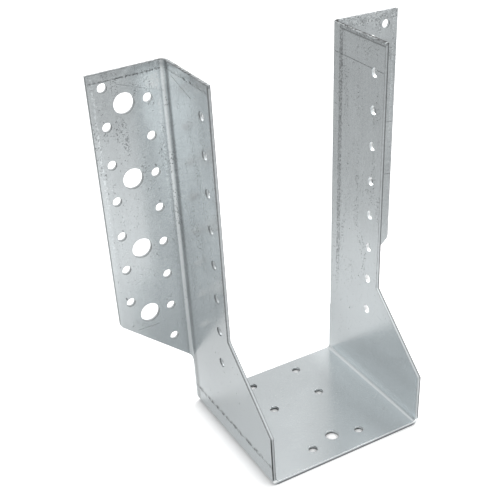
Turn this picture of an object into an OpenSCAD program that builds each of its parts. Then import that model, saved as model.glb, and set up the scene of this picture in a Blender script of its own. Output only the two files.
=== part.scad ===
// Joist hanger folded from one blank of galvanised sheet: a seat, two side plates that rise
// from it, and a nailing flange folded outward from the back edge of each side plate.
// All lengths are in millimetres. The hanger stands on its seat, with the joist entering
// from the front (-Y) and the flanges lying against the header at the back (+Y).

/* [Sheet] */
// Thickness of the sheet
sheet_t = 2; // [1.5:0.25:2.5]
// Inside radius of every fold
fold_r = 2; // [1.5:0.25:3]

/* [Joist pocket] */
// Clear width between the side plates at the seat
joist_w = 90; // [60:1:140]
// Height of the side plates above the seat
side_h = 205; // [170:5:260]
// Length of the seat, from its front edge to its back edge
seat_l = 85; // [75:0.5:110]
// Gap between the seat's back edge and the header
seat_gap = 2.25; // [1:0.25:2.75]
// Angle by which each side plate has sprung outward from square
splay = 0.9; // [0:0.1:2]

/* [Side plates] */
// Depth of a side plate's upright part, from the header to its front edge
strap_w = 47.25; // [40:0.25:60]
// Height above the seat at which the lower front edge turns back into a slope
nose_h = 29.25; // [20:0.25:40]
// Height above the seat at which that slope meets the upright part
slope_h = 65.5; // [55:0.5:80]

/* [Flanges] */
// Width of a flange, from the joist's side to its outer edge
flange_w = 41.75; // [38:0.25:60]
// Length of a flange's outer edge, down from the top
flange_l = 140; // [110:1:150]
// Height above the seat at which a flange's sloping lower edge would meet the joist's side
foot_h = 28.25; // [24:0.25:34]
// Radius of a flange's rounded lower corner and of the notch below it
corner_r = 4; // [2:0.5:5]
// Height over which a flange's fold runs out into the flat plate below the notch
runout_h = 3.5; // [2:0.5:6]

/* [Holes] */
// Diameter of the nail holes
nail_d = 5; // [4:0.25:6]
// Diameter of the bolt holes in the flanges
bolt_d = 11; // [9:0.5:13]
// Diameter of the bolt hole in the seat
seat_bolt_d = 7.5; // [6:0.5:10]
// Distance between neighbouring nails in a column
nail_pitch = 20; // [18:0.5:24]
// Distance from the top edge to the first nail of a flange's outer column
first_row = 7.25; // [6:0.25:10]
// Distance from a flange's outer edge to its outer column of nails
outer_inset = 7.5; // [6:0.25:9]
// Distance from a flange's outer edge to its column of bolts
bolt_inset = 17.5; // [16:0.5:19]
// Distance from a flange's outer edge to its inner column of nails
inner_inset = 30; // [28:0.25:32]
// Distance from the upright part's front edge to its column of nails
side_inset = 8.25; // [6:0.25:12]
// Least width of metal left between a hole and a sloping edge
edge_min = 3; // [2:0.5:4]

/* [Seat holes] */
// Distance of the seat's nails from its centre line
seat_nail_x = 15; // [10:0.5:20]
// Distance from the seat's front edge to its front pair of nails
seat_front = 11.25; // [9:0.25:14]
// Distance from the front pair to the middle pair
seat_pitch = 40; // [36:1:42]
// Distance from the seat's back edge to its back pair of nails
seat_rear = 9; // [7:0.5:11]
// Distance from the seat's front edge to its bolt hole
seat_bolt_y = 15.25; // [12:0.25:20]

/* [Hidden] */
$fn = 64;

// Share of the sheet's thickness, from the inside of a fold, at which its length doesn't change
neutral = 0.42;
// Amount by which a cutting solid passes the faces that it cuts
over = 1;
// Number of steps along the curved cut at a flange fold's lower end
cut_steps = 12;
// Length by which a side plate and the seat's fold run into each other
lap = 0.1;

// Outside radius of a fold, and the length of flat sheet that a flange's fold takes up
fold_out = fold_r + sheet_t;
fold_l = PI / 2 * (fold_r + neutral * sheet_t);
// A side plate is set in by a hair, so that inside the lap both stay within the sheet
lap_angle = lap / (fold_r + sheet_t / 2) * 180 / PI;
set_in = lap * tan(lap_angle) / 2;

half_w = joist_w / 2;
total_h = sheet_t + side_h;
front_y = -(seat_gap + seat_l);
// The origin is under the middle of the whole hanger, so the header's face lies here
header_y = -front_y / 2;
// Axis of the fold between the seat and the right-hand side plate
hinge = [half_w - fold_r, 0, fold_out];
// Lower end of a side plate, inside the seat's fold
plate_z = hinge.z - lap;
// Axis of the fold between the right-hand side plate and its flange
corner = [half_w + fold_out, -fold_out, 0];

// Sloping lower edge of a flange, as a line z = foot_z + flange_slope * (x - half_w)
foot_z = sheet_t + foot_h;
flange_slope = (total_h - flange_l - foot_z) / flange_w;
flange_angle = atan(flange_slope);
function lower_edge_z(x) = foot_z + flange_slope * (x - half_w);

// The same edge on the flat sheet across the fold, where s runs from the plate to the flange.
// It ends in a round notch at notch_s, the back edge of the flat plate below.
notch_s = fold_out - seat_gap;
fold_end_z = lower_edge_z(corner.x);
notch_corner_z = fold_end_z - flange_slope * (fold_l - notch_s);
notch_z = notch_corner_z + corner_r * (flange_slope - 1 / cos(flange_angle));
notch_end_s = notch_s + corner_r * (1 - sin(flange_angle));
function fold_edge_z(s) =
    s < notch_s ? notch_z - runout_h * (1 - s / notch_s)
  : s < notch_end_s ? notch_z + sqrt(pow(corner_r, 2) - pow(notch_s + corner_r - s, 2))
  : fold_end_z - flange_slope * (fold_l - s);

// Centre of a flange's rounded lower corner, seen from the front
flange_edge = half_w + flange_w;
round_centre = [
    flange_edge - corner_r,
    lower_edge_z(flange_edge) - corner_r * (flange_slope - 1 / cos(flange_angle))
];

// Columns of holes. A column's rows go down from its first one as far as the sloping edge allows.
second_row = first_row + nail_pitch / 2;
bolt_pitch = 2 * nail_pitch;
function hole_rows(x, top, pitch, d) =
    let (lowest = lower_edge_z(x) + d / 2 + edge_min)
    [for (z = total_h - top; z > lowest; z = z - pitch) z];
outer_x = flange_edge - outer_inset;
bolt_x = flange_edge - bolt_inset;
inner_x = flange_edge - inner_inset;
outer_rows = hole_rows(outer_x, first_row, nail_pitch, nail_d);
bolt_rows = hole_rows(bolt_x, second_row, bolt_pitch, bolt_d);
inner_rows = hole_rows(inner_x, second_row, nail_pitch, nail_d);
side_nail_y = side_inset - strap_w;
seat_rows = [
    front_y + seat_front,
    front_y + seat_front + seat_pitch,
    front_y + seat_l - seat_rear
];

function arc(centre, r, from, to, steps = 12) =
    [for (i = [0:steps]) let (a = from + (to - from) * i / steps) centre + r * [cos(a), sin(a)]];

// Cross-section of a fold about the origin, turning from -Y towards +X
module bend(angle) {
    reach = 2 * fold_out;
    intersection() {
        difference() {
            circle(r = fold_out);
            circle(r = fold_r);
        }
        polygon([[0, 0], [0, -reach], [reach, -reach], reach * [sin(angle), -cos(angle)]]);
    }
}

// The seat and the folds at its two sides, seen from the front. Each fold stops short of square
// by the splay, and runs on into its side plate by the lap.
module seat_section() {
    translate([-hinge.x, 0]) square([2 * hinge.x, sheet_t]);
    for (side = [0, 1]) mirror([side, 0])
        translate([hinge.x, hinge.z]) bend(90 - splay + lap_angle);
}

module seat() {
    difference() {
        translate([0, -seat_gap, 0]) rotate([90, 0, 0]) linear_extrude(seat_l) seat_section();
        for (side = [-1, 1], y = seat_rows) seat_hole(side * seat_nail_x, y, nail_d);
        seat_hole(0, front_y + seat_bolt_y, seat_bolt_d);
    }
}

module seat_hole(x, y, d) {
    translate([x, y, -over]) cylinder(h = sheet_t + 2 * over, d = d);
}

// A side plate, its fold and its flange, seen from above, with the header's face at y = 0
module side_section() {
    front = front_y + set_in;
    translate([half_w, front]) square([sheet_t, corner.y - front]);
    translate([corner.x, corner.y]) rotate(180) bend(90);
    translate([corner.x, -sheet_t]) square([flange_edge - corner.x, sheet_t]);
}

// Solid across the thickness of a side plate, from a shape drawn as seen from the side
module across_plate(margin) {
    translate([half_w - margin, 0, 0]) rotate([90, 0, 90])
        linear_extrude(sheet_t + 2 * margin) children();
}

// What is cut away in front of the upright part and above the sloping edge
module front_cut() {
    across_plate(over) polygon([
        [front_y - over, sheet_t + nose_h],
        [front_y + set_in, sheet_t + nose_h],
        [-strap_w, sheet_t + slope_h],
        [-strap_w, total_h + over],
        [front_y - over, total_h + over]
    ]);
}

// What is cut away below a flange's fold, square to the sheet all the way round it
module fold_cut() {
    bottom = plate_z - over;
    points = [
        for (i = [0:cut_steps])
        let (a = 90 * i / cut_steps)
        for (r = [fold_r / 2, fold_out + over])
        for (z = [bottom, fold_edge_z(fold_l * i / cut_steps)])
        [-r * cos(a), r * sin(a), z]
    ];
    // Each step has four points: inner low, inner high, outer low and outer high
    last = 4 * cut_steps;
    skin = [
        for (a = [0:4:last - 4])
        let (b = a + 4)
        for (face = [
            [a, a + 1, b + 1, b],
            [a + 2, b + 2, b + 3, a + 3],
            [a, b, b + 2, a + 2],
            [a + 1, b + 3, b + 1],
            [a + 1, a + 3, b + 3]
        ])
        face
    ];
    ends = [[0, 2, 3, 1], [last, last + 1, last + 3, last + 2]];
    translate(corner) polyhedron(points, concat(ends, skin));
}

// What is cut away below a flange, seen from the front. It runs on into the fold's cut, where it
// stays well below that cut's edge.
module flange_cut() {
    steep = 3 * over;
    translate([0, over, 0]) rotate([90, 0, 0]) linear_extrude(sheet_t + 2 * over) polygon(concat(
        [[corner.x - over, plate_z - over], [corner.x - over, fold_end_z - steep], [corner.x, fold_end_z]],
        arc(round_centre, corner_r, flange_angle - 90, 0),
        [[flange_edge + over, round_centre.y], [flange_edge + over, plate_z - over]]
    ));
}

// Flat part of a side plate behind the line of the flange's fold, below the notch
module back_edge() {
    back_y = -seat_gap - set_in;
    across_plate(0) polygon([
        [2 * corner.y, plate_z],
        [back_y, plate_z],
        [back_y, notch_z + runout_h],
        [corner.y, notch_z + 2 * runout_h],
        [2 * corner.y, notch_z + 2 * runout_h]
    ]);
}

module side_hole(z) {
    translate([half_w - over, side_nail_y, z]) rotate([0, 90, 0])
        cylinder(h = sheet_t + 2 * over, d = nail_d);
}

module flange_hole(x, z, d) {
    translate([x, over, z]) rotate([90, 0, 0]) cylinder(h = sheet_t + 2 * over, d = d);
}

// Right-hand side plate with its flange, standing upright
module upright_side() {
    difference() {
        translate([0, 0, plate_z]) linear_extrude(total_h - plate_z) side_section();
        front_cut();
        fold_cut();
        flange_cut();
        for (z = inner_rows) side_hole(z);
        for (z = outer_rows) flange_hole(outer_x, z, nail_d);
        for (z = bolt_rows) flange_hole(bolt_x, z, bolt_d);
        for (z = inner_rows) flange_hole(inner_x, z, nail_d);
    }
    back_edge();
}

// The same, leaning out about the seat's fold
module side() {
    translate(hinge) rotate([0, splay, 0]) translate(-hinge - [set_in, 0, 0]) upright_side();
}

module hanger() {
    color([0.74, 0.77, 0.79]) translate([0, header_y, 0]) {
        seat();
        for (side = [0, 1]) mirror([side, 0, 0]) side();
    }
}

hanger();
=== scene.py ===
"""Scene for the joist hanger: its zinc finish, a white studio and the photograph's camera."""

import math
from functools import reduce

import bpy
from mathutils import Matrix, Vector

MM = 0.001

# The photograph's camera, fitted to the hanger's holes and corners
IMAGE_SIZE = 500
FOCAL_PIXELS = 994.192
CAMERA_AZIMUTH = math.radians(-28.542)
CAMERA_ELEVATION = math.radians(29.772)
CAMERA_ROLL = math.radians(-2.737)
CAMERA_PLACE = Vector((-236.51, -379.438, 362.009)) * MM

# The folded sheet, in millimetres. The finish is laid out on it as if the sides stood upright:
# their lean about the seat's folds is taken out first.
SHEET = 2
LEAN = math.radians(0.9)
HINGE_X = 43
HINGE_Z = 4
HEADER_Y = 43.625
HALF_WIDTH = 45
FOLD_OUT = 4
FLANGE_EDGE = 86.75
TOP = 207
PLATE_MIDDLE = HALF_WIDTH + SHEET / 2
FLANGE_START = HALF_WIDTH + FOLD_OUT

ZINC = (0.67, 0.71, 0.725)
METALLIC = 0.8
ROUGHNESS = 0.22
# In millimetres: the radius that rounds the sheet's edges in shading, and the depth of its relief
EDGE_RADIUS = 0.32
RELIEF_DEPTH = 0.05
RELIEF_STRENGTH = 0.25

# How much each kind of unevenness changes the zinc's brightness
CLOUD_CONTRAST = 0.06
MOTTLE_CONTRAST = 0.42
STREAK_CONTRAST = 0.10
SMEAR_CONTRAST = 0.18
PIT_DARKNESS = 0.46
FLECK_BRIGHTNESS = 0.32

# Noises: size in millimetres, detail, roughness, stretch along each axis, and seed
NOISES = {
    "cloud": (45, 2, 0.5, (1, 1, 1), 1.0),
    "mottle": (1.4, 4, 0.7, (1, 1, 1), 2.0),
    "streak": (1.2, 3, 0.5, (1, 1, 22), 4.0),
    "smear": (9, 4, 0.6, (1, 1, 3), 6.0),
    "cut grain": (0.7, 2, 0.5, (2.5, 1, 1), 11.0),
    "blotch": (3, 3, 0.5, (2, 2, 1), 13.0),
    "line wander": (5, 2, 0.5, (1, 1, 1), 3.1),
    "line breaks": (1.1, 3, 0.5, (1, 1, 1), 14.0),
    "base strokes": (2.6, 3, 0.7, (1, 1, 2), 21.0),
    "crowd wander": (6, 2, 0.5, (1, 1, 1), 3.1),
    "trails": (7, 2, 0.5, (1, 1, 4), 7.7),
    "pits": (0.85, 2, 0.5, (1, 1, 1), 5.3),
    "lone pits": (2.2, 1, 0.5, (1, 1, 1), 9.9),
    "fleck wander": (5, 2, 0.5, (1, 1, 1), 8.2),
    "flecks": (0.8, 2, 0.5, (1, 1, 1), 2.6),
    "rubbing": (2.0, 2, 0.5, (1, 1, 1), 12.0),
}

# Where the folding tools left lines, and where lines of painted shade and painted reflection run, in
# millimetres: below the top edge, above the floor, and forward from the header (negative)
FLANGE_TOP_LINE = 4.1
PLATE_TOP_LINE = 3.8
# A painted shadow runs on the plates' inside just under the torn lip
UNDER_LIP_SHADOW_LINE = 1.8
BASE_LINE = 12.4
BASE_LINE_GAP = -58
# A painted dark reflection runs on the plates' outside in the corner beside a flange's fold
CORNER_REFLECTION_LINE = -5.4
INNER_LINE = -9.6
# The torn lip on a plate's top edge begins between these distances from the header
LIP_START = (-8, -12)

# Marks left by tools and handling, in millimetres: across the hanger, forward from the header
# (negative), and up. Each has its two ends, its width and how dark it is.
SCRATCHES = {
    "flange long near part": ((-71.7, -2, 200.1), (-59, -2, 195.4), 0.35, 0.30),
    "flange long far part": ((-59, -2, 195.4), (-46.8, -2, 191.0), 0.3, 0.24),
    "flange low": ((-77, -2, 61.2), (-65, -2, 61), 0.3, 0.34),
    "flange low short": ((-77.9, -2, 68.4), (-76.6, -2, 65.3), 0.35, 0.25),
    "flange low spot": ((-80.2, -2, 64.4), (-79.2, -2, 65.3), 0.4, 0.4),
    "flange middle": ((-61.7, -2, 104.2), (-60.2, -2, 101.6), 0.4, 0.3),
    "flange upper": ((-52.8, -2, 176.5), (-49.2, -2, 171.8), 0.3, 0.2),
    "left plate": ((-47, -10.1, 200.9), (-47, -29.5, 195.4), 0.45, 0.4),
    "left plate spot": ((-47, -23, 203.9), (-47, -24.6, 203.4), 0.9, 0.7),
    "left plate second spot": ((-47, -30.4, 203.6), (-47, -31, 203.4), 0.8, 0.6),
    "right plate long": ((45, -4, 191.8), (45, -46.3, 191.4), 0.4, 0.5),
    "flange hole spot": ((-56.5, -2, 154.0), (-56.3, -2, 153.4), 0.55, 0.6),
    "flange second hole spot": ((-56.5, -2, 133.7), (-56.3, -2, 133.1), 0.55, 0.6),
    "flange third hole spot": ((-78.5, -2, 123.2), (-78.3, -2, 122.6), 0.5, 0.5),
    "flange fourth hole spot": ((-81.5, -2, 83.2), (-81.3, -2, 82.4), 0.6, 0.8),
    "right flange mark": ((82.2, -2, 142.6), (85.6, -2, 142.2), 0.4, 0.4),
    "right flange low mark": ((82.2, -2, 110.1), (85.9, -2, 109.6), 0.4, 0.45),
    "seat dent by the fold": ((45.6, -31.7, 1.6), (45.8, -32.2, 1.8), 0.7, 0.5),
}

# Soft patches, brighter (positive) or darker: middle, reach and strength. Those marked below are
# painted reflections, painted light and painted shade; the others are plain brighter or darker tone
LIGHT_AND_TONE_PATCHES = {
    # Painted reflection: the flange lighter beside its fold towards the top
    "flange between fold and top": ((-54, -2, 186), (9, 6, 22), 0.24),
    # Painted reflection: the flange lighter beside its fold
    "flange by its fold": ((-52, -2, 150), (7, 6, 40), 0.12),
    # Painted reflection: the flange lighter by its fold just under the top
    "flange between its top line and long scratch": ((-53.5, -2, 199), (11, 6, 9), 0.28),
    # Painted reflection: the flange darker under its outer corner
    "flange under its outer corner": ((-76, -2, 187), (13, 6, 17), -0.11),
    "flange foot": ((-68, -2, 55), (25, 6, 25), -0.05),
    "flange upper part": ((-70, -2, 160), (20, 6, 30), -0.05),
    # Painted light: the left plate lighter towards its top
    "plate under its top edge": ((-47, -18, 182), (6, 30, 36), 0.17),
    "flange outer edge": ((-87, -2, 130), (4, 6, 80), 0.12),
    # Painted shade: the left plate darker below its middle
    "left plate below its middle": ((-47, -22, 78), (8, 60, 90), -0.14),
    # Painted reflection: the right plate lighter above the gusset
    "right plate above the gusset": ((45, -30, 68), (8, 60, 50), 0.13),
    # Painted shade: the right gusset darker
    "right gusset": ((45, -60, 14), (8, 60, 22), -0.11),
    # Painted reflection: the seat lighter by its right fold
    "seat by its right fold": ((41, -45, 2), (18, 80, 9), 0.2),
    "seat by the header": ((0, -12, 2), (50, 30, 8), -0.05),
    # Painted light: the right flange lighter at its top
    "right flange top": ((70, -2, 200), (30, 6, 16), 0.14),
    # Painted shade: the right flange darker low down
    "right flange low part": ((84, -2, 100), (6, 6, 45), -0.17),
}

FLOOR_HALF = 1.5
FLOOR_WHITE = (0.93, 0.93, 0.93)
# A pool of light is painted into the floor's colour, seen only in reflections: the floor is brightest
# before and left of the hanger, and dims between these distances from there, in metres
FLOOR_POOL_CENTRE = (-0.1, -0.14, 0)
FLOOR_POOL = 0.13
FLOOR_POOL_EDGE = 0.44
FLOOR_POOL_DEPTH = 0.5
# Within this reach of the hanger, in metres, the first glow fades with ambient occlusion, a painted
# contact shadow, and the camera sees the floor's own shadow too. Beyond it the first glow lifts the
# floor to white for the camera. The second glow lifts it in reflections.
CONTACT_REACH = 0.012
FLOOR_GLOW = 0.6
FLOOR_GLOSS_GLOW = 0.12

# Strength of the world's fill light, what reflections add to it, and what they lose at the horizon
WORLD_FILL = 0.48
WORLD_GLOSS = 0.32
HORIZON_LOSS = 0.2

# Square lamps: place and side in metres, and power in watts
LAMPS = {
    "key": ((0.6, 0.3, 0.9), 0.6, 5.5),
    "fill": ((-0.7, -0.7, 0.8), 0.8, 4),
    "edge light": ((0.45, -0.5, 0.9), 0.4, 0.35),
}
LAMP_TARGET = Vector((0, 0, 0.08))


def add_node(tree, kind, inputs=None, **settings):
    """Adds a node, changes its settings, and sets or links its inputs."""
    node = tree.nodes.new(kind)
    for name, value in settings.items():
        setattr(node, name, value)
    for key, value in (inputs or {}).items():
        if isinstance(value, Field):
            value = value.socket
        if isinstance(value, bpy.types.NodeSocket):
            tree.links.new(value, node.inputs[key])
        else:
            node.inputs[key].default_value = value
    return node


class Field:
    """A number that varies over a surface. Arithmetic on it adds Math nodes."""

    def __init__(self, tree, socket):
        self.tree = tree
        self.socket = socket

    def calculate(self, operation, *others):
        inputs = dict(enumerate((self, *others)))
        node = add_node(self.tree, "ShaderNodeMath", inputs, operation=operation)
        return Field(self.tree, node.outputs[0])

    def __add__(self, other):
        return self.calculate("ADD", other)

    def __sub__(self, other):
        return self.calculate("SUBTRACT", other)

    def __mul__(self, other):
        return self.calculate("MULTIPLY", other)

    def __rsub__(self, other):
        return self * -1 + other

    def __abs__(self):
        return self.calculate("ABSOLUTE")

    __radd__ = __add__

    def highest(self, other):
        return self.calculate("MAXIMUM", other)

    def step(self, start, end):
        """Goes smoothly from 0 at start to 1 at end. The end may be below the start."""
        inputs = {"Value": self, "From Min": start, "From Max": end}
        node = add_node(self.tree, "ShaderNodeMapRange", inputs, interpolation_type="SMOOTHSTEP")
        return Field(self.tree, node.outputs[0])

    def band(self, centre, width):
        """1 along a line at the centre value, fading to 0 at the width to each side."""
        return abs(self - centre).step(width, 0)


class Sheet:
    """Places on the folded sheet, as fields in millimetres, for one material."""

    def __init__(self, tree):
        self.tree = tree
        place = self.scaled(add_node(tree, "ShaderNodeTexCoord").outputs["Object"], 1 / MM)
        x, y, z = self.parts(place)
        across = abs(x)
        self.across = (across - HINGE_X) * math.cos(LEAN) - (z - HINGE_Z) * math.sin(LEAN) + HINGE_X
        self.up = (across - HINGE_X) * math.sin(LEAN) + (z - HINGE_Z) * math.cos(LEAN) + HINGE_Z
        self.back = y - HEADER_Y
        self.left = x.step(0.1, -0.1)
        self.upright = self.joined(self.across * x.calculate("SIGN"), self.back, self.up)
        normal = add_node(tree, "ShaderNodeNewGeometry").outputs["True Normal"]
        self.facing = [abs(part) for part in self.parts(normal)]
        self.outside = self.across.step(PLATE_MIDDLE, PLATE_MIDDLE + 0.6)
        self.on_flange = self.across.step(FLANGE_START - 0.3, FLANGE_START)
        self.flange_front = self.on_flange * self.parts(normal)[1].step(-0.5, -0.8)
        self.on_seat = self.up.step(FOLD_OUT, FOLD_OUT - 1)
        self.on_plate = (1 - self.on_flange) * (1 - self.on_seat)
        self.inside_plate = (1 - self.outside) * self.on_plate
        self.outside_plate = self.outside * self.on_plate
        # 0 on the sheet's inside face, 1 on its outside
        through_upright = (self.across - HALF_WIDTH) * self.on_plate - self.back * self.on_flange
        self.through = (through_upright + (SHEET - z) * self.on_seat) * (1 / SHEET)

    def parts(self, vector):
        """The three fields that a vector is made of."""
        outputs = add_node(self.tree, "ShaderNodeSeparateXYZ", {0: vector}).outputs
        return [Field(self.tree, output) for output in outputs]

    def joined(self, x, y, z):
        """A vector from three fields."""
        return add_node(self.tree, "ShaderNodeCombineXYZ", {"X": x, "Y": y, "Z": z}).outputs[0]

    def vector(self, operation, *inputs):
        return add_node(self.tree, "ShaderNodeVectorMath", dict(enumerate(inputs)), operation=operation)

    def scaled(self, vector, factor):
        return add_node(
            self.tree, "ShaderNodeVectorMath", {0: vector, "Scale": factor}, operation="SCALE"
        ).outputs["Vector"]

    def noise(self, name):
        """One of the named noises, from 0 to 1."""
        size, detail, rough, stretch, seed = NOISES[name]
        squeezed = self.vector("DIVIDE", self.upright, tuple(size * part for part in stretch))
        moved = self.vector("ADD", squeezed.outputs["Vector"], (seed, 2 * seed, 3 * seed))
        inputs = {"Vector": moved.outputs["Vector"], "Scale": 1.0, "Detail": detail, "Roughness": rough}
        return Field(self.tree, add_node(self.tree, "ShaderNodeTexNoise", inputs).outputs["Fac"])

    def scratch(self, start, end, width):
        """1 on the straight line between two places on the sheet, fading to 0 at its width."""
        start, end = Vector(start), Vector(end)
        along = end - start
        offset = self.vector("SUBTRACT", self.upright, tuple(start)).outputs["Vector"]
        dot = self.vector("DOT_PRODUCT", offset, tuple(along)).outputs["Value"]
        inputs = {0: dot, 1: 1 / along.length_squared}
        share = add_node(self.tree, "ShaderNodeMath", inputs, operation="MULTIPLY", use_clamp=True)
        nearest = self.scaled(tuple(along), share.outputs[0])
        gap = self.vector("DISTANCE", offset, nearest).outputs["Value"]
        return Field(self.tree, gap).step(width, width * 0.3)

    def patch(self, middle, reach):
        """1 in the middle of a soft patch, fading to 0 at its reach along each axis."""
        offset = self.vector("SUBTRACT", self.upright, middle).outputs["Vector"]
        shares = self.vector("DIVIDE", offset, reach).outputs["Vector"]
        return Field(self.tree, self.vector("LENGTH", shares).outputs["Value"]).step(1, 0.3)


def new_material(name):
    """An empty node material, with its tree and its output node."""
    material = bpy.data.materials.new(name)
    material.use_nodes = True
    material.node_tree.nodes.clear()
    output = material.node_tree.nodes.new("ShaderNodeOutputMaterial")
    return material, material.node_tree, output


def highest_of(*fields):
    """The highest of several fields at each place."""
    return reduce(Field.highest, fields)


def torn_lip(sheet):
    """1 on the rough lip that the shears left on the inside face, along the top of the plates."""
    return sheet.up.step(TOP - 1.6, TOP - 1.2) * sheet.back.step(*LIP_START) * sheet.inside_plate


def cut_faces(sheet):
    """1 on sheared edges, on the torn lip and in the holes, where the sheet's thickness shows."""
    facing_x, facing_y, facing_z = sheet.facing
    flange = sheet.on_flange * facing_y.step(0.6, 0.4)
    plate = sheet.on_plate * sheet.back.step(-FOLD_OUT, -FOLD_OUT - 0.2) * facing_x.step(0.6, 0.4)
    seat = sheet.across.step(HINGE_X, HINGE_X - 0.2) * sheet.on_seat * facing_z.step(0.6, 0.4)
    top = sheet.up.step(TOP - 3, TOP - 2) * facing_z.step(0.6, 0.8)
    front = sheet.back.step(-60, -80) * facing_y.step(0.8, 0.9)
    return highest_of(flange, plate, seat, top, front, torn_lip(sheet))


def cut_dark(sheet):
    """How dark the cut faces are.

    They are darker along their borders, partly as bare cut steel and partly as painted shade on the
    rims and hole walls, and darker at the left plate's foot. They are lighter in the right plate's
    holes, a painted light on lit walls, and at the top of the seat's front edge, a painted highlight.
    They are grained on the top edges.
    """
    grain = sheet.noise("cut grain") - 0.5
    right = 1 - sheet.left
    on_top = sheet.up.step(TOP - 3, TOP - 2) * sheet.facing[2].step(0.6, 0.8)
    right_top = on_top * sheet.on_plate * right
    seat_front = sheet.on_seat * sheet.facing[1].step(0.7, 0.8)
    # Painted light: the walls of the right plate's holes are lighter, as lit walls
    right_holes = right * sheet.on_plate * sheet.back.step(-45, -44) * sheet.up.step(TOP - 2, TOP - 3)
    left_foot = sheet.up.step(32, 30) * sheet.left * (1 - seat_front)
    lip = torn_lip(sheet)
    # Darker borders: partly the bare cut steel, partly painted shade on the rims and hole walls
    outer_border = sheet.through.step(0.5, 0.75) * (0.6 - right_holes * 0.8)
    # At the top of the seat's front edge this border turns lighter: a painted highlight
    inner_border = sheet.through.step(0.24, 0.05) * (0.5 - seat_front) * (1 - lip)
    seat_border = sheet.through.step(0.25, 0.45) * seat_front * 0.2
    dark = outer_border + inner_border + seat_border + left_foot * 0.3 + 0.04 - right_holes * 0.4
    dark = dark + on_top * 0.12 + right_top * 0.25 + lip * 0.2
    return dark + grain * (on_top * 1.7 + lip * 1.6 + 0.3)


def tool_lines_and_painted_shade(sheet):
    """Dark lines that the folding tools left, and lines of painted shade and painted reflection.

    The tool lines run on the inside by the fold, along the top and along the base, below which the
    sheet is a little darker. A painted dark reflection runs in the corner beside a flange's fold, a
    painted shadow under the torn lip, and painted shade on the outside of the bottom fold, which
    darkens towards the floor.
    """
    # Painted dark reflection in the corner beside a flange's fold, stronger towards the top
    strength = sheet.up.step(30, 190) * 0.25 + 0.38
    corner = sheet.back.band(CORNER_REFLECTION_LINE, 3.4) * sheet.outside_plate * strength
    # Painted shadow under the torn lip
    under_lip_shadow = sheet.up.band(TOP - UNDER_LIP_SHADOW_LINE, 0.8) * sheet.back.step(*LIP_START)
    under_lip_shadow = under_lip_shadow * sheet.inside_plate * 0.5
    blotch = sheet.noise("blotch").step(0.3, 0.7)
    inner = abs(sheet.back - INNER_LINE).step(2.2, 1.0) * sheet.up.step(50, 200)
    inner = inner * sheet.inside_plate * blotch * 0.16
    above_line = sheet.up.step(TOP - FLANGE_TOP_LINE - 0.2, TOP - FLANGE_TOP_LINE + 0.7)
    worn = above_line * blotch * (sheet.on_flange * 0.2 + sheet.outside_plate * 0.3)
    wander = sheet.noise("line wander") - 0.5
    breaks = sheet.noise("line breaks").step(0.42, 0.52)
    top_line = (sheet.up + wander).band(TOP - FLANGE_TOP_LINE, 0.75) * breaks
    top_line = top_line * sheet.flange_front * sheet.left * 0.55
    strokes = sheet.noise("base strokes").step(0.47, 0.53)
    gap = 1 - sheet.back.band(BASE_LINE_GAP, 4)
    base_line = (sheet.up + wander * 1.6).band(BASE_LINE, 2.4) * strokes * gap * 0.65
    below_line = sheet.up.step(BASE_LINE + 0.5, BASE_LINE - 0.5) * 0.05
    base = base_line.highest(below_line) * sheet.outside * (1 - sheet.on_flange)
    # Painted shade: the outside of the bottom fold darkens towards the floor
    underside_shade = sheet.up.step(5, 0.5) * sheet.across.step(HINGE_X + 1, HINGE_X + 2) * 0.3
    return highest_of(corner, under_lip_shadow, inner, worn, top_line, base, underside_shade)


def pit_crowds(sheet):
    """How crowded the dark pits are: in lines left by the folding tools and in upright trails."""
    wander = sheet.noise("crowd wander") - 0.5
    below_top = TOP - sheet.up
    flange_line = (below_top + wander * 0.9).band(FLANGE_TOP_LINE, 0.9) * sheet.flange_front
    plate_line = (below_top + wander * 1.4).band(PLATE_TOP_LINE, 1.1) * sheet.outside_plate * 0.8
    base = (sheet.up + wander * 1.4).band(BASE_LINE - 0.2, 1.6) * sheet.outside_plate * 0.7
    inner = abs(sheet.back + wander * 0.8 - INNER_LINE).step(2.4, 1.2) * sheet.up.step(30, 80)
    inner = inner * sheet.inside_plate * 0.9
    trails_reach = sheet.up.step(105, 175) * sheet.on_flange
    trails_reach = trails_reach + sheet.up.step(30, 90) * sheet.on_plate * 0.9
    trails = sheet.noise("trails").step(0.46, 0.62) * trails_reach * 0.5
    right_front = sheet.flange_front * (1 - sheet.left)
    rough_top = below_top.step(9, 3) * right_front * 0.45
    outer_edge = sheet.across.step(FLANGE_EDGE - 6, FLANGE_EDGE - 2) * right_front * 0.15
    return highest_of(flange_line, plate_line, base, inner, trails, rough_top, outer_edge)


def dark_pits(sheet):
    """1 in the zinc's dark pits: small ones where they crowd, and a few lone larger ones."""
    lone = sheet.noise("lone pits").step(0.72, 0.80) * (sheet.up.step(5, 60) * 0.6 + 0.4)
    crowded = sheet.noise("pits") + pit_crowds(sheet) * 0.25
    return crowded.step(0.66, 0.75).highest(lone * 0.6)


def pale_flecks(sheet):
    """1 in pale flecks: beside a flange's outer edge and its fold, and on the right one's top."""
    wander = sheet.noise("fleck wander") - 0.5
    outer = (sheet.across + wander * 0.9).band(FLANGE_EDGE - 2.4, 1.4)
    fold = (sheet.across + wander * 0.7).band(FLANGE_START + 2.0, 1.3)
    top = sheet.up.step(TOP - 8, TOP - 2) * (1 - sheet.left)
    crowd = highest_of(outer, fold, top) * sheet.up.step(60, 170)
    return (sheet.noise("flecks") + crowd * 0.2).step(0.66, 0.78) * sheet.flange_front


def scratches(sheet):
    """How dark the named marks are, with parts of them half rubbed away."""
    marks = (sheet.scratch(start, end, width) * dark for start, end, width, dark in SCRATCHES.values())
    rubbing = sheet.noise("rubbing").step(0.3, 0.5)
    return reduce(Field.highest, marks) * (rubbing * 0.5 + 0.5)


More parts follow.
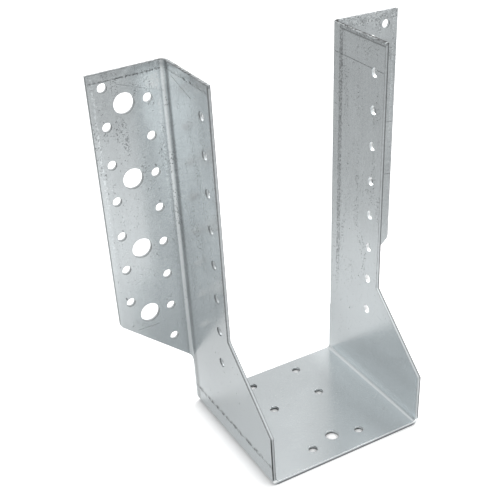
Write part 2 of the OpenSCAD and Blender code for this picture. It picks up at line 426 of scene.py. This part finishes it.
def zinc():
    """Galvanised sheet: mottled, faintly streaked along the rolling direction, half gloss. Its colour
    also carries painted reflections, painted light and painted shade.
    """
    material, tree, output = new_material("galvanised_steel")
    sheet = Sheet(tree)
    uneven = sheet.up.step(45, 110) * 0.75 + 0.25
    cloud = sheet.noise("cloud") - 0.5
    mottle = (sheet.noise("mottle") - 0.5) * uneven
    streak = (sheet.noise("streak") - 0.5) * uneven
    smear = (sheet.noise("smear") - 0.5) * uneven
    cut = cut_faces(sheet)
    plain = 1 - cut
    # The tool lines, with lines of painted shade and painted reflection
    lines = tool_lines_and_painted_shade(sheet) * plain
    pits = dark_pits(sheet) * plain
    flecks = pale_flecks(sheet)
    scratched = scratches(sheet)
    tone = 1 + cloud * CLOUD_CONTRAST + mottle * MOTTLE_CONTRAST
    tone = tone + streak * STREAK_CONTRAST + smear * SMEAR_CONTRAST
    # Soft patches: most paint reflections, light and shade into the colour
    for middle, reach, strength in LIGHT_AND_TONE_PATCHES.values():
        tone = tone + sheet.patch(middle, reach) * strength
    tone = tone * (1 - lines) * (1 - scratched) * (1 - pits * PIT_DARKNESS)
    tone = (tone + flecks * FLECK_BRIGHTNESS) * (1 - cut * cut_dark(sheet))
    colour = sheet.scaled(ZINC, tone)
    gloss = ROUGHNESS + mottle * 0.2 + smear * 0.15 + cut * 0.15 + (pits + scratched) * 0.2
    height = mottle * 0.6 + smear * 0.6
    rounded = add_node(tree, "ShaderNodeBevel", {"Radius": EDGE_RADIUS * MM}, samples=6)
    inputs = {
        "Height": height,
        "Strength": RELIEF_STRENGTH,
        "Distance": RELIEF_DEPTH * MM,
        "Normal": rounded.outputs[0],
    }
    relief = add_node(tree, "ShaderNodeBump", inputs).outputs[0]
    inputs = {"Base Color": colour, "Metallic": METALLIC, "Roughness": gloss, "Normal": relief}
    shader = add_node(tree, "ShaderNodeBsdfPrincipled", inputs)
    tree.links.new(shader.outputs[0], output.inputs["Surface"])
    return material


def floor_material():
    """White floor that keeps the hanger's shadow, darkened near it by a painted contact shadow, with a
    pool of light painted into its colour for reflections.
    """
    material, tree, output = new_material("floor")
    path = add_node(tree, "ShaderNodeLightPath")
    glossy = Field(tree, path.outputs["Is Glossy Ray"])
    camera = Field(tree, path.outputs["Is Camera Ray"])
    place = add_node(tree, "ShaderNodeTexCoord").outputs["Object"]
    away = add_node(
        tree, "ShaderNodeVectorMath", {0: place, 1: FLOOR_POOL_CENTRE}, operation="DISTANCE"
    ).outputs["Value"]
    # Painted pool of light: in reflections the floor's colour dims away from the pool's centre
    shade = 1 - Field(tree, away).step(FLOOR_POOL, FLOOR_POOL_EDGE) * glossy * FLOOR_POOL_DEPTH
    colour = add_node(
        tree, "ShaderNodeVectorMath", {0: FLOOR_WHITE, "Scale": shade}, operation="SCALE"
    ).outputs["Vector"]
    diffuse = add_node(tree, "ShaderNodeBsdfDiffuse", {"Color": colour})
    # Painted contact shadow: the camera glow fades where ambient occlusion finds the hanger close by
    open_sky = add_node(tree, "ShaderNodeAmbientOcclusion", {"Distance": CONTACT_REACH}, samples=8)
    contact = Field(tree, open_sky.outputs["AO"]).step(0.3, 1)
    strength = camera * contact * FLOOR_GLOW + glossy * FLOOR_GLOSS_GLOW
    glow = add_node(tree, "ShaderNodeEmission", {"Strength": strength})
    both = add_node(tree, "ShaderNodeAddShader", {0: diffuse.outputs[0], 1: glow.outputs[0]})
    tree.links.new(both.outputs[0], output.inputs["Surface"])
    return material


def make_floor():
    corners = [
        (-FLOOR_HALF, -FLOOR_HALF, 0),
        (FLOOR_HALF, -FLOOR_HALF, 0),
        (FLOOR_HALF, FLOOR_HALF, 0),
        (-FLOOR_HALF, FLOOR_HALF, 0),
    ]
    mesh = bpy.data.meshes.new("floor")
    mesh.from_pydata(corners, [], [(0, 1, 2, 3)])
    mesh.materials.append(floor_material())
    floor = bpy.data.objects.new("floor", mesh)
    bpy.context.collection.objects.link(floor)


def make_world():
    """White surroundings for the camera. They reflect a little dimmer, and light things at half that."""
    world = bpy.data.worlds.new("studio")
    world.use_nodes = True
    tree = world.node_tree
    tree.nodes.clear()
    path = add_node(tree, "ShaderNodeLightPath")
    kinds = ("Is Camera Ray", "Is Glossy Ray", "Is Transmission Ray")
    camera, glossy, through = [Field(tree, path.outputs[kind]) for kind in kinds]
    direction = add_node(tree, "ShaderNodeTexCoord").outputs["Generated"]
    rise = Field(tree, add_node(tree, "ShaderNodeSeparateXYZ", {0: direction}).outputs["Z"])
    low = rise.step(0.35, 0.05) * glossy
    strength = WORLD_FILL + camera * (1 - WORLD_FILL) + glossy.highest(through) * WORLD_GLOSS
    strength = strength - low * HORIZON_LOSS
    inputs = {"Color": (1, 1, 1, 1), "Strength": strength}
    background = add_node(tree, "ShaderNodeBackground", inputs)
    output = tree.nodes.new("ShaderNodeOutputWorld")
    tree.links.new(background.outputs[0], output.inputs["Surface"])
    bpy.context.scene.world = world


def soft_box(name, place, size, power):
    """Square area lamp aimed at the lower part of the hanger."""
    lamp = bpy.data.lights.new(name, "AREA")
    lamp.size = size
    lamp.energy = power
    item = bpy.data.objects.new(name, lamp)
    item.location = place
    item.rotation_mode = "QUATERNION"
    item.rotation_quaternion = (LAMP_TARGET - item.location).to_track_quat("-Z", "Y")
    bpy.context.collection.objects.link(item)


def make_camera():
    """Camera at the photograph's place, looking the way that the fit found."""
    back = Vector(
        (
            math.sin(CAMERA_AZIMUTH) * math.cos(CAMERA_ELEVATION),
            -math.cos(CAMERA_AZIMUTH) * math.cos(CAMERA_ELEVATION),
            math.sin(CAMERA_ELEVATION),
        )
    )
    level_right = (-back).cross(Vector((0, 0, 1))).normalized()
    level_up = level_right.cross(-back)
    right = math.cos(CAMERA_ROLL) * level_right + math.sin(CAMERA_ROLL) * level_up
    up = math.cos(CAMERA_ROLL) * level_up - math.sin(CAMERA_ROLL) * level_right
    data = bpy.data.cameras.new("camera")
    data.sensor_width = 36
    data.lens = FOCAL_PIXELS / IMAGE_SIZE * data.sensor_width
    data.clip_start = 0.01
    camera = bpy.data.objects.new("camera", data)
    turn = Matrix((right, up, back)).transposed().to_4x4()
    camera.matrix_world = Matrix.Translation(CAMERA_PLACE) @ turn
    bpy.context.collection.objects.link(camera)
    bpy.context.scene.camera = camera


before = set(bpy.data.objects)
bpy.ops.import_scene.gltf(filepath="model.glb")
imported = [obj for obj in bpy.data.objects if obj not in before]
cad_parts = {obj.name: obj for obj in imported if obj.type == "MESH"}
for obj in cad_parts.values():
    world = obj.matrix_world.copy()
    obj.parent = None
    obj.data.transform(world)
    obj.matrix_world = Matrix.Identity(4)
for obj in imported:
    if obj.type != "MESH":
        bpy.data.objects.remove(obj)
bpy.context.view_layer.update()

bpy.context.scene.view_settings.view_transform = "Standard"
make_camera()
make_world()
make_floor()
for name, settings in LAMPS.items():
    soft_box(name, *settings)

finish = zinc()
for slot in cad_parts["hanger"].material_slots:
    slot.link = "OBJECT"
    slot.material = finish
